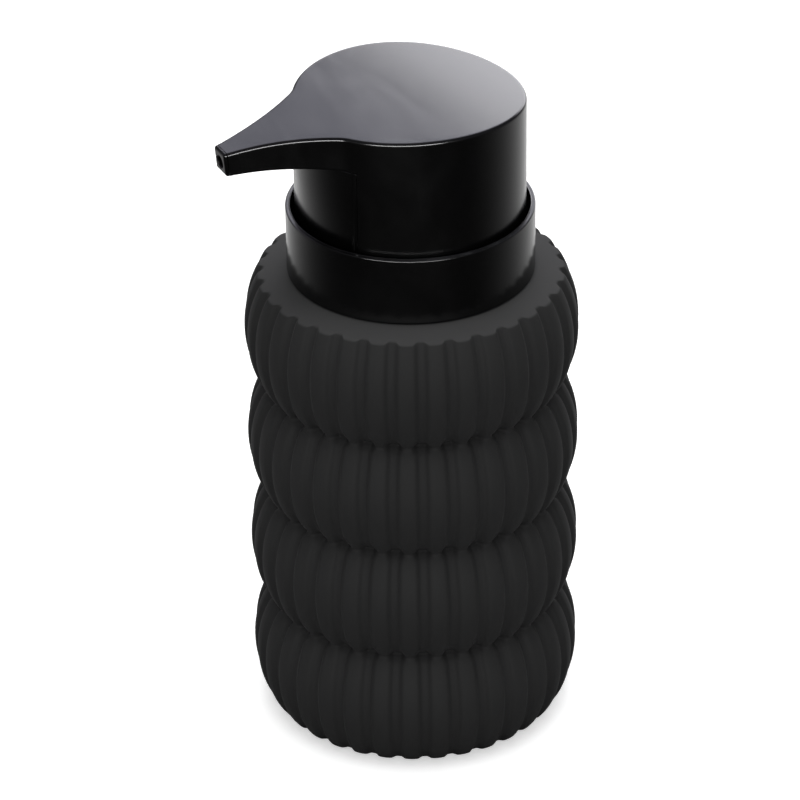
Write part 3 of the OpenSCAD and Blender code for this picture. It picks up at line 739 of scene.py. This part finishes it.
def blendCentre():
    # the small circle that touches the head from outside and the flank from inside
    far = flankCentre.length
    reach = headRadius + head["rootBlend"]
    inset = head["flankRadius"] - head["rootBlend"]
    along = (reach ** 2 - inset ** 2 + far ** 2) / (2 * far)
    aside = math.sqrt(max(0.0, reach ** 2 - along ** 2))
    ray = flankCentre / far
    return ray * along + Vector((-ray.y, ray.x)) * aside


rootCentre = blendCentre()
headTouch = rootCentre * (headRadius / rootCentre.length)
flankTouch = flankCentre + (rootCentre - flankCentre).normalized() * head["flankRadius"]


def arcPoints(centre, radius, start, end, steps, outwardSign):
    # plan points (x, distance along the spout) with their outward directions
    found = []
    for s in range(steps + 1):
        a = start + (end - start) * s / steps
        ray = Vector((math.cos(a), math.sin(a)))
        found.append((centre + ray * radius, ray * outwardSign))
    return found


def planAngle(point, centre):
    d = point - centre
    return math.atan2(d.y, d.x)


def flankAngleAt(t):
    return math.pi + math.asin((flankCentre.y - t) / head["flankRadius"])


def flankHalfWidth(t):
    return flankCentre.x - math.sqrt(head["flankRadius"] ** 2 - (flankCentre.y - t) ** 2)


def halfOutline(reach):
    # from the tip along the flank, over the root blend and round to the back of the head
    flank = arcPoints(flankCentre, head["flankRadius"], flankAngleAt(reach),
                      planAngle(flankTouch, flankCentre) % math.tau, head["flankSteps"], -1)
    blend = arcPoints(rootCentre, head["rootBlend"], planAngle(flankTouch, rootCentre) % math.tau,
                      planAngle(headTouch, rootCentre) % math.tau, head["blendSteps"], -1)
    axis = Vector((0, 0))
    slotAngle = math.pi / 2 - head["slotHalf"]
    first = arcPoints(axis, headRadius, planAngle(headTouch, axis), slotAngle, head["frontSteps"], 1)
    rest = arcPoints(axis, headRadius, slotAngle, -math.pi / 2, head["backSteps"], 1)
    outline = flank + blend[1:] + first[1:] + rest[1:]
    slotIndex = len(flank) + len(blend) - 1 + len(first) - 2
    return outline, slotIndex


def buildCover():
    half, slotIndex = halfOutline(nozzleStart - head["endLand"])
    half.insert(0, (Vector((flankHalfWidth(nozzleStart), nozzleStart)), half[0][1]))
    slotIndex += 1
    backIndex = len(half) - 1

    def thicken(i, full):
        # a wall that grows from the spout's to its full thickness towards the slot
        share = smoothStep((i - slotIndex + head["thickenLead"]) / head["thickenSteps"])
        return head["spoutWall"] + (full - head["spoutWall"]) * share

    def wallAt(i):
        return thicken(i, head["skirtWall"])

    def roofAt(i):
        return thicken(i, head["roof"])

    def lowAt(i):
        return underZ(half[i][0].y) if half[i][0].y > head["underForward"] else rootZ

    def planAt(i, inset):
        point, outward = half[i]
        if i == backIndex:
            return Vector((0, -headRadius + inset))
        return point - outward * inset

    def ring(insetAt, heightAt):
        # one ring over the whole outline, from one side of the tip round to the other;
        # its first point follows the leaning end at its own height
        rightSide = []
        for i in range(len(half)):
            p = planAt(i, insetAt(i))
            z = heightAt(i, p)
            t = nozzleStart + leanAt(z) if i == 0 else p.y
            rightSide.append(Vector((p.x, -t, z)))
        leftSide = [Vector((-v.x, v.y, v.z)) for v in reversed(rightSide[:-1])]
        return rightSide + leftSide

    edge, under, land = head["topEdge"], head["underEdge"], head["edgeLand"]
    rings = [ring(lambda i: edge + head["topLand"], lambda i, p: archZ(p.y))]
    for s in range(head["topEdgeSteps"] + 1):
        phi = s / head["topEdgeSteps"] * math.pi / 2
        rings.append(ring(lambda i: edge * (1 - math.sin(phi)),
                          lambda i, p: archZ(p.y) - edge * (1 - math.cos(phi))))
    rings.append(ring(lambda i: 0, lambda i, p: archZ(p.y) - edge - land))
    rings.append(ring(lambda i: 0, lambda i, p: lowAt(i) + under + land))
    for s in range(head["underEdgeSteps"] + 1):
        phi = s / head["underEdgeSteps"] * math.pi / 2
        rings.append(ring(lambda i: under * (1 - math.cos(phi)) if i < slotIndex else 0,
                          lambda i, p: lowAt(i) + under * (1 - math.sin(phi))))
    bm = bmesh.new()
    outer = ringGrid(bm, rings, closeColumns=False)
    mirror = len(rings[0]) - 1
    top, lip = outer[0], outer[-1]

    def coverRing(row):
        # faces that span a ring from side to side
        for i in range(backIndex - 1):
            bm.faces.new((row[i], row[i + 1], row[mirror - i - 1], row[mirror - i]))
        bm.faces.new((row[backIndex - 1], row[backIndex], row[backIndex + 1]))

    coverRing(top)

    innerLow = [bm.verts.new(v) for v in ring(wallAt, lambda i, p: lowAt(i))]
    innerTop = [bm.verts.new(v) for v in ring(wallAt, lambda i, p: archZ(p.y) - roofAt(i))]
    bridge(bm, innerLow, innerTop)
    coverRing(innerTop)

    # the skirt below the slot's top, from one slot edge round the back to the other
    first, last = slotIndex, mirror - slotIndex
    skirtRound = head["skirtEdge"]
    skirtRings = [ring(lambda i: 0, lambda i, p: rootZ - head["topLand"]),
                  ring(lambda i: 0, lambda i, p: skirtZ + skirtRound + land)]
    for s in range(head["skirtEdgeSteps"] + 1):
        phi = s / head["skirtEdgeSteps"] * math.pi / 2
        skirtRings.append(ring(lambda i: skirtRound * (1 - math.cos(phi)),
                               lambda i, p: skirtZ + skirtRound * (1 - math.sin(phi))))
    skirtRings.append(ring(wallAt, lambda i, p: skirtZ))
    skirtRings.append(ring(wallAt, lambda i, p: rootZ - head["topLand"]))
    above = lip[first:last + 1]
    columns = [[v] for v in above]
    for points in skirtRings:
        level = [bm.verts.new(v) for v in points[first:last + 1]]
        bridge(bm, above, level)
        for column, vertex in zip(columns, level):
            column.append(vertex)
        above = level
    bridge(bm, above, innerLow[first:last + 1])
    bridge(bm, lip, innerLow, 0, first)
    bridge(bm, lip, innerLow, last, mirror)
    for column, innerEnd in ((columns[0], innerLow[first]), (columns[-1], innerLow[last])):
        bm.faces.new(column + [innerEnd])
    endLoop = [r[0] for r in outer] + [innerLow[0], innerTop[0]]
    endLoop += [innerTop[mirror], innerLow[mirror]] + [r[mirror] for r in reversed(outer)]
    bm.faces.new(endLoop)
    piece = finishMesh("head_shell", bm, 30)
    crisp = piece.modifiers.new("edges", "BEVEL")
    crisp.limit_method = "ANGLE"
    crisp.angle_limit = 50 * deg
    crisp.width = head["bevel"]
    crisp.segments = 2
    crisp.harden_normals = True
    dress(piece, "satinBlack")
    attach(piece, "head")
    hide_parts("head_cover")
    return piece


coverPiece = buildCover()
print("head shell:", len(coverPiece.data.polygons), "faces")


# ---- nozzle tip ----

nozzle = {
    "faceRound": 0.6 * mm,
    "outlet": 1.42 * mm,
    "outletDrop": 7.07 * mm,    # how far the outlet lies under the crown
    "outletDepth": 2.2 * mm,
    "outletEdge": 0.3 * mm,
    "faceLand": 0.15 * mm,
    "faceSteps": 5,
    "seamEdge": ((0, 0.12 * mm), (0.05 * mm, 0.03 * mm), (0.13 * mm, 0)),   # distance in, and inset
    "leastTopRound": 0.3 * mm,
    "leastLowRound": 0.2 * mm,
    "plugInset": 1.05 * mm,
    "plugDepth": 0.8 * mm,
    "cornerSteps": 6,
    "sideSteps": 5,
}


def sectionLoop(t, inset):
    # the spout's cross section at a distance out, as points (x, z), drawn in by inset
    half = flankHalfWidth(t) - inset
    top, low = archZ(t) - inset, underZ(t) + inset
    topRound = max(head["topEdge"] - inset, nozzle["leastTopRound"])
    lowRound = max(head["underEdge"] - inset, nozzle["leastLowRound"])
    corners = [(half, low, lowRound, -90), (half, top, topRound, 0), (-half, top, topRound, 90),
               (-half, low, lowRound, 180)]
    loop = []
    for x, z, r, start in corners:
        cx = x - math.copysign(r, x)
        cz = z - r if start in (0, 90) else z + r
        for s in range(nozzle["cornerSteps"] + 1):
            a = (start + 90 * s / nozzle["cornerSteps"]) * deg
            loop.append(Vector((cx + r * math.cos(a), cz + r * math.sin(a))))
    full = []
    perCorner = nozzle["cornerSteps"] + 1
    for i, p in enumerate(loop):
        full.append(p)
        if i % perCorner == perCorner - 1:
            following = loop[(i + 1) % len(loop)]
            for s in range(1, nozzle["sideSteps"]):
                full.append(p.lerp(following, s / nozzle["sideSteps"]))
    return full


def leanPoint(x, t, z):
    return Vector((x, -(t + leanAt(z)), z))


def nozzleRings():
    # from the seam over the rounded face into the outlet, and back through the plug
    reach = head["spoutReach"]
    start = nozzleStart + head["seam"]
    soft = nozzle["faceRound"]
    stations = [(start + along, inset) for along, inset in nozzle["seamEdge"]]
    for s in range(nozzle["faceSteps"] + 1):
        phi = s / nozzle["faceSteps"] * math.pi / 2
        stations.append((reach - soft * (1 - math.sin(phi)), soft * (1 - math.cos(phi))))
    stations.append((reach, soft + nozzle["faceLand"]))
    rings = [[leanPoint(p.x, t, p.y) for p in sectionLoop(t, inset)] for t, inset in stations]
    centre = Vector((0, crownZ - nozzle["outletDrop"]))
    rays = [(p - centre).normalized() for p in sectionLoop(reach, soft)]
    hole, chamfer = nozzle["outlet"], nozzle["outletEdge"]
    for radius, depth in ((hole + chamfer, 0), (hole, chamfer), (hole, nozzle["outletDepth"])):
        circle = [centre + ray * radius for ray in rays]
        rings.append([leanPoint(p.x, reach - depth, p.y) for p in circle])
    back = sectionLoop(start, nozzle["plugInset"])
    for t in (start - nozzle["plugDepth"], start):
        rings.append([leanPoint(p.x, t, p.y) for p in back])
    return rings


def buildNozzle():
    bm = bmesh.new()
    ringGrid(bm, nozzleRings(), closeRings=True)
    piece = finishMesh("spout_end", bm, 42)
    dress(piece, "satinBlack")
    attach(piece, "head")
    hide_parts("nozzle_tip")


buildNozzle()
print("spout end done")


# ---- head insert: front panel, plate, spout floor and stem socket ----

insert = {
    "panelHalf": 37.15 * deg,
    "panelInset": 0.06 * mm,
    "panelThickness": 2.0 * mm,
    "panelEdge": 0.14 * mm,
    "panelEdgeLand": 0.084 * mm,
    "edgeMiddle": 0.3,           # an edge's middle point, as a share of its rounding
    "panelGap": 0.12 * mm,       # under the spout's root
    "panelFoot": 0.3 * mm,
    "panelSteps": 20,
    "lineAngle": 35.1 * deg,     # a fine upright line scored near each side of the panel
    "lineWidth": 0.28 * mm,
    "lineDepth": 0.2 * mm,
    "plate": 1 * mm,
    "plateRadius": 25.4 * mm,
    "plateEdge": 0.1 * mm,
    "floorStart": 24.2 * mm,     # the spout's floor, from this far out
    "floorLength": 20 * mm,
    "floorSteps": 24,
    "socket": 6 * mm,
    "socketBore": 3.65 * mm,
    "socketLow": 16.35 * mm,     # both ends of the stem's socket, under the crown
    "socketHigh": 2.58 * mm,
    "socketRound": 0.2 * mm,
}


def addPanel(bm):
    # the panel under the spout: stops across one half are (angle, how far the face is set in)
    outer = headRadius - insert["panelInset"]
    inner = outer - insert["panelThickness"]
    top = rootZ - insert["panelGap"]
    edge, foot, share = insert["panelEdge"], insert["panelFoot"], insert["edgeMiddle"]
    line, width, depth = insert["lineAngle"], insert["lineWidth"] / outer, insert["lineDepth"]
    halfAngle = insert["panelHalf"]
    edgeTurn = edge / outer
    stops = [(halfAngle, edge), (halfAngle - share * edgeTurn, share * edge), (halfAngle - edgeTurn, 0),
             (line + width, 0), (line + 0.5 * width, depth), (line - 0.5 * width, depth), (line - width, 0),
             (line - 2 * width, 0)]
    steps = insert["panelSteps"]
    middle = [(line - 2 * width) * (1 - s / steps) for s in range(1, steps)]
    side = stops + [(a, 0) for a in middle]
    angles = [(-a, d) for a, d in side] + [(0, 0)] + [(a, d) for a, d in reversed(side)]
    # levels are (z, how far it is set in, how much of the stops' depth it has)
    levels = [(skirtZ, foot, 0), (skirtZ + foot / 3, foot / 3, 0), (skirtZ + foot, 0, 1),
              (top - edge - insert["panelEdgeLand"], 0, 1), (top - edge, 0, 1),
              (top - share * edge, share * edge, 2 * share), (top, edge, 0)]
    rings = []
    for z, inset, groove in levels:
        rings.append([polar(outer - max(inset, d * groove), a - math.pi / 2, z) for a, d in angles])
    rings.append([polar(inner, a - math.pi / 2, top) for a, _ in angles])
    rings.append([polar(inner, a - math.pi / 2, skirtZ) for a, _ in angles])
    made = ringGrid(bm, rings, closeRings=True, closeColumns=False)
    for end in (0, -1):
        bm.faces.new([ring[end] for ring in made])


def addFloor(bm):
    # the spout's underside between its two side walls
    gap = head["spoutWall"] + head["seam"]
    edge = insert["plateEdge"]
    rings = []
    for s in range(insert["floorSteps"] + 1):
        t = insert["floorStart"] + insert["floorLength"] * s / insert["floorSteps"]
        half = flankHalfWidth(max(t, flankTouch.y)) - gap
        low = underZ(t)
        high = low + insert["plate"]
        rings.append([Vector((x, -t, z)) for x, z in (
            (-half, low + edge), (-half + edge, low), (half - edge, low), (half, low + edge),
            (half, high), (-half, high))])
    capEnds(bm, ringGrid(bm, rings))


def socketPath():
    # the stem's socket with the round plate that carries the cover
    socket, bore, plate = insert["socket"], insert["socketBore"], insert["plateRadius"]
    low, high = crownZ - insert["socketLow"], crownZ - insert["socketHigh"]
    plateTop = rootZ + insert["plate"]
    soft, edge = insert["socketRound"], insert["plateEdge"]
    return roundPath([
        (bore, low, soft), (socket, low, soft), (socket, rootZ, 0), (plate, rootZ, edge),
        (plate, plateTop, edge), (socket, plateTop, 0), (socket, high, soft), (bore, high, soft)], steps=3)


def buildInsert():
    bm = bmesh.new()
    addPanel(bm)
    addLathe(bm, socketPath())
    addFloor(bm)
    piece = finishMesh("head_core", bm, 35)
    dress(piece, "satinBlack")
    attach(piece, "head")
    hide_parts("head_insert")


buildInsert()
print("head core done")


# ---- return spring ----

springLow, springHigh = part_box("return_spring")
spring = {
    "wire": 0.9 * mm,
    "turns": 8.5,
    "endTurns": 0.75,     # the turns at each end lie close together
    "turnSteps": 36,
    "sides": 12,
}


def springRise(turn):
    # height of the wire's middle over the lowest turn's, after some turns
    closed = spring["endTurns"] * spring["wire"]
    length = springHigh.z - springLow.z - spring["wire"]
    if turn < spring["endTurns"]:
        return turn * spring["wire"]
    if turn > spring["turns"] - spring["endTurns"]:
        return length - (spring["turns"] - turn) * spring["wire"]
    openTurns = spring["turns"] - 2 * spring["endTurns"]
    return closed + (length - 2 * closed) * (turn - spring["endTurns"]) / openTurns


def buildSpring():
    bm = bmesh.new()
    wireRadius = spring["wire"] / 2
    meanRadius = springHigh.x - wireRadius
    around = [(b + 0.5) * math.tau / spring["sides"] for b in range(spring["sides"])]
    rings = []
    for i in range(int(spring["turnSteps"] * spring["turns"]) + 1):
        turn = i / spring["turnSteps"]
        middle = springLow.z + wireRadius + springRise(turn)
        rings.append([polar(meanRadius + wireRadius * math.cos(b), turn * math.tau,
                            middle + wireRadius * math.sin(b)) for b in around])
    capEnds(bm, ringGrid(bm, rings))
    piece = finishMesh("return_spring", bm)
    dress(piece, "springSteel")
    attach(piece, "pump")
    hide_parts("return_spring")
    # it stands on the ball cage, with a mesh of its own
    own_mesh(piece)


buildSpring()
print("return spring done")


# ---- stage, light and camera ----

stage = {
    "floorSize": 8.0,
    "floorGap": 0.01 * mm,
    "floorColor": (0.93, 0.93, 0.93),
    "floorRoughness": 0.8,
    "bounceColor": (0.40, 0.40, 0.40),
    "worldLow": 0.45,         # the soft light's level at the horizon and overhead
    "worldHigh": 6.0,
    "worldRise": 20,
    "cameraGlow": 0.5,        # added to the floor's own light for the camera alone
    "mirrorFront": 0.025,     # how bright the floor looks in a mirror, near the front and at the far side
    "mirrorBack": 1.0,
    "mirrorTurn": (0.75, -1.0),
    "mirrorBend": 2.5,
    "mirrorAzimuth": 59 * deg,
    "mirrorTop": 0.15,        # the same for the world above, and its tint
    "mirrorTint": (0.95, 0.95, 1.07),
}
view = {
    "azimuth": 64 * deg,
    "elevation": 30.63 * deg,
    "distance": 1.032,
    "target": (-1.34 * mm, -2.74 * mm, 81.79 * mm),
    "lens": 192.06,
    "sensorWidth": 36,
    "clipStart": 0.01,
    "roll": -0.78 * deg,
}
# each softbox hangs at an azimuth and elevation from the object, faces it, and glows at its level;
# one that is for the edges only leaves diffuse surfaces alone
softboxes = {
    "back": {"azimuth": 230 * deg, "elevation": 16 * deg, "distance": 1.4, "size": (1.1, 0.6),
             "level": 3.3, "tint": (0.99, 0.985, 1.03), "edgesOnly": False},
    "high": {"azimuth": 250 * deg, "elevation": 40 * deg, "distance": 1.5, "size": (1.0, 0.6),
             "level": 1.2, "tint": (0.95, 0.95, 1.12), "edgesOnly": True},
    "key": {"azimuth": 60 * deg, "elevation": 12 * deg, "distance": 1.6, "size": (2.2, 0.35),
            "level": 24.0, "tint": (1.0, 1.0, 1.0), "edgesOnly": True},
}


def direction(azimuth, elevation):
    return Vector((math.sin(azimuth) * math.cos(elevation), -math.cos(azimuth) * math.cos(elevation),
                   math.sin(elevation)))


def farShare(tree, place):
    # how far a direction or a spot on the floor lies from the front: none at it, one opposite
    flat = addNode(tree, "ShaderNodeVectorMath", operation="MULTIPLY")
    flat.inputs[1].default_value = (1, 1, 0)
    tree.links.new(place, flat.inputs[0])
    unit = addNode(tree, "ShaderNodeVectorMath", operation="NORMALIZE")
    tree.links.new(flat.outputs["Vector"], unit.inputs[0])
    toward = addNode(tree, "ShaderNodeVectorMath", operation="DOT_PRODUCT")
    toward.inputs[1].default_value = direction(stage["mirrorAzimuth"], 0)
    tree.links.new(unit.outputs["Vector"], toward.inputs[0])
    near, far = stage["mirrorTurn"]
    share = addNode(tree, "ShaderNodeMapRange")
    share.inputs["From Min"].default_value = near
    share.inputs["From Max"].default_value = far
    tree.links.new(toward.outputs["Value"], share.inputs["Value"])
    return mathNode(tree, "POWER", share.outputs["Result"], stage["mirrorBend"])


def mixValues(tree, factor, a, b):
    mix = addNode(tree, "ShaderNodeMix", data_type="FLOAT")
    for socket, value in (("Factor", factor), ("A", a), ("B", b)):
        if isinstance(value, (int, float)):
            mix.inputs[socket].default_value = value
        else:
            tree.links.new(value, mix.inputs[socket])
    return mix.outputs["Result"]


def buildStage():
    half = stage["floorSize"] / 2
    bm = bmesh.new()
    corners = [(-half, -half), (half, -half), (half, half), (-half, half)]
    level = cadBox[0].z - stage["floorGap"]
    bm.faces.new([bm.verts.new((x, y, level)) for x, y in corners])
    floor = finishMesh("floor", bm)
    material, tree, shader = newMaterial("paleFloor", stage["floorColor"], stage["floorRoughness"],
                                         **{"Specular IOR Level": 0.0})
    path = addNode(tree, "ShaderNodeLightPath")
    color = addNode(tree, "ShaderNodeMix", data_type="RGBA")
    color.inputs["A"].default_value = (*stage["floorColor"], 1)
    color.inputs["B"].default_value = (*stage["bounceColor"], 1)
    tree.links.new(path.outputs["Is Diffuse Ray"], color.inputs["Factor"])
    tree.links.new(color.outputs["Result"], shader.inputs["Base Color"])
    shader.inputs["Emission Color"].default_value = (1, 1, 1, 1)
    seen = mathNode(tree, "MULTIPLY", path.outputs["Is Camera Ray"], stage["cameraGlow"])
    tree.links.new(seen, shader.inputs["Emission Strength"])
    place = addNode(tree, "ShaderNodeTexCoord")
    far = farShare(tree, place.outputs["Object"])
    mirrored = rampNode(tree, far, stage["mirrorFront"], stage["mirrorBack"])
    glow = addNode(tree, "ShaderNodeEmission")
    tree.links.new(mirrored, glow.inputs["Strength"])
    mixed = addNode(tree, "ShaderNodeMixShader")
    tree.links.new(path.outputs["Is Glossy Ray"], mixed.inputs["Fac"])
    tree.links.new(shader.outputs[0], mixed.inputs[1])
    tree.links.new(glow.outputs[0], mixed.inputs[2])
    # seen from below, the floor lets the underside show
    side = addNode(tree, "ShaderNodeNewGeometry")
    clear = addNode(tree, "ShaderNodeBsdfTransparent")
    oneSided = addNode(tree, "ShaderNodeMixShader")
    tree.links.new(side.outputs["Backfacing"], oneSided.inputs["Fac"])
    tree.links.new(mixed.outputs[0], oneSided.inputs[1])
    tree.links.new(clear.outputs[0], oneSided.inputs[2])
    tree.links.new(oneSided.outputs[0], tree.nodes["Material Output"].inputs["Surface"])
    floor.data.materials.append(material)


def buildWorld():
    world = bpy.data.worlds.new("studio")
    bpy.context.scene.world = world
    world.use_nodes = True
    tree = world.node_tree
    background = tree.nodes["Background"]
    place = addNode(tree, "ShaderNodeTexCoord")
    parts = addNode(tree, "ShaderNodeSeparateXYZ")
    tree.links.new(place.outputs["Generated"], parts.inputs[0])
    rise = mathNode(tree, "MAXIMUM", parts.outputs["Z"], 0.0)
    overhead = mathNode(tree, "POWER", rise, stage["worldRise"])
    soft = rampNode(tree, overhead, stage["worldLow"], stage["worldHigh"])
    path = addNode(tree, "ShaderNodeLightPath")
    shone = mixValues(tree, path.outputs["Is Glossy Ray"], soft, stage["mirrorTop"])
    tint = addNode(tree, "ShaderNodeMix", data_type="RGBA")
    tint.inputs["A"].default_value = (1, 1, 1, 1)
    tint.inputs["B"].default_value = (*stage["mirrorTint"], 1)
    tree.links.new(path.outputs["Is Glossy Ray"], tint.inputs["Factor"])
    tree.links.new(tint.outputs["Result"], background.inputs["Color"])
    seen = mathNode(tree, "MAXIMUM", path.outputs["Is Camera Ray"], path.outputs["Is Transmission Ray"])
    level = mixValues(tree, seen, shone, 1.0)
    tree.links.new(level, background.inputs["Strength"])


def buildSoftboxes():
    middle = Vector((0, 0, 0.5 * (cadBox[0].z + cadBox[1].z)))
    for name, box in softboxes.items():
        lamp = bpy.data.lights.new(name, "AREA")
        lamp.shape = "RECTANGLE"
        width, height = box["size"]
        lamp.size, lamp.size_y = width, height
        lamp.color = box["tint"]
        lamp.energy = box["level"] * math.pi * width * height
        holder = bpy.data.objects.new(name, lamp)
        ray = direction(box["azimuth"], box["elevation"])
        holder.location = middle + ray * box["distance"]
        holder.rotation_euler = (-ray).to_track_quat("-Z", "Y").to_euler()
        holder.visible_diffuse = not box["edgesOnly"]
        bpy.context.scene.collection.objects.link(holder)


def buildCamera():
    lens = bpy.data.cameras.new("camera")
    lens.sensor_width = view["sensorWidth"]
    lens.lens = view["lens"]
    lens.clip_start = view["clipStart"]
    camera = bpy.data.objects.new("camera", lens)
    bpy.context.scene.collection.objects.link(camera)
    back = direction(view["azimuth"], view["elevation"])
    camera.location = Vector(view["target"]) + back * view["distance"]
    turn = back.to_track_quat("Z", "Y").to_matrix().to_4x4()
    spin = Matrix.Rotation(view["roll"], 4, "Z")
    camera.rotation_euler = (turn @ spin).to_euler()
    bpy.context.scene.camera = camera


buildStage()
buildWorld()
buildSoftboxes()
buildCamera()
bpy.context.scene.view_settings.view_transform = "Standard"
print("stage, light and camera done")
